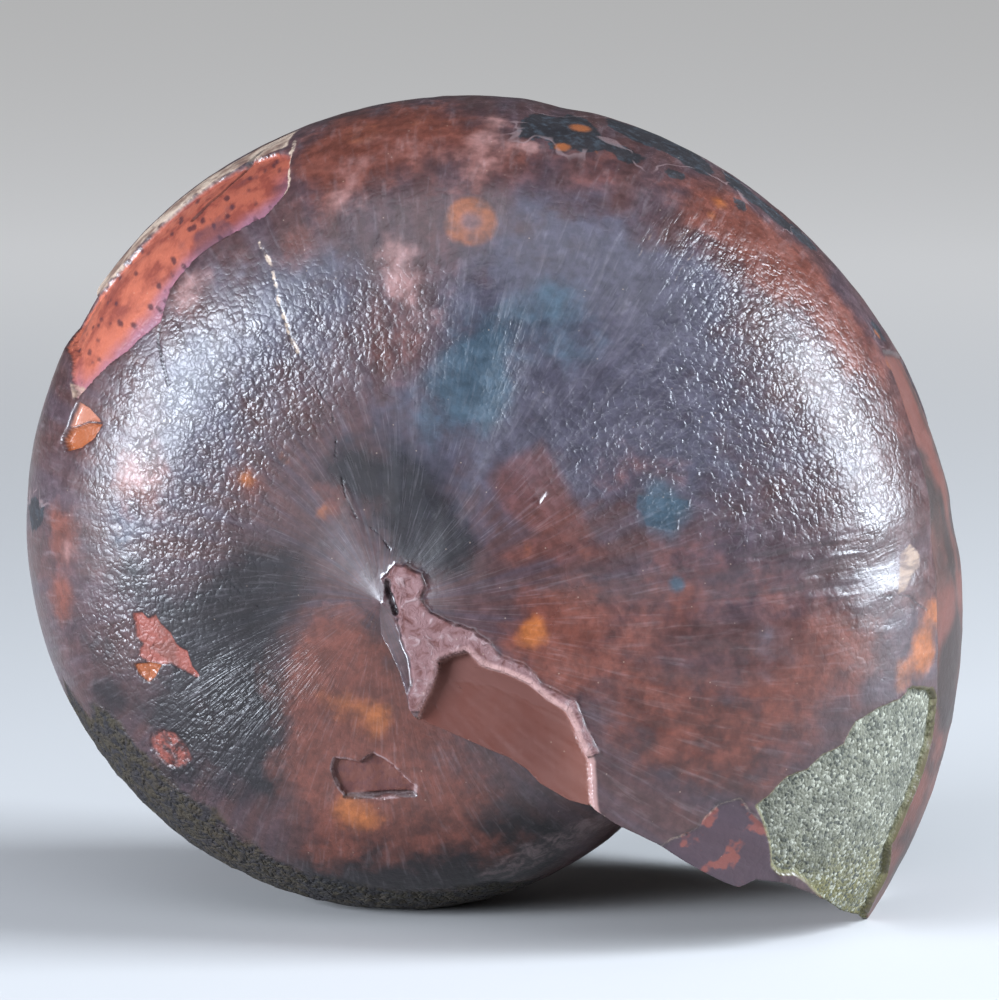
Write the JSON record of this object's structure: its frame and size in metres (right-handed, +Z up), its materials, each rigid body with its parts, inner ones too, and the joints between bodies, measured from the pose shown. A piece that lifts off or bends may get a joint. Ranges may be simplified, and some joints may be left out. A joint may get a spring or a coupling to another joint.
{
  "type": "arcestes ammonite fossil",
  "caption": "Fossil ammonite with a smooth, tightly coiled, purple-brown polished shell, a broken edge and grey-green stone at its mouth, standing on edge.",
  "frame": {"origin": "centre of the footprint, on the ground that the shell stands on", "axes": "+Z up; the coil axis runs along Y and the side with the broken edge faces -Y; +X towards the outer edge by the mouth"},
  "size_m": [0.0624, 0.0382, 0.0539],
  "materials": {
    "shell": "satin polish over mineralised shell, with bare matt stone at the mouth"
  },
  "bodies": {
    "root": {"ammonite": "shell"}
  },
  "joints": []
}
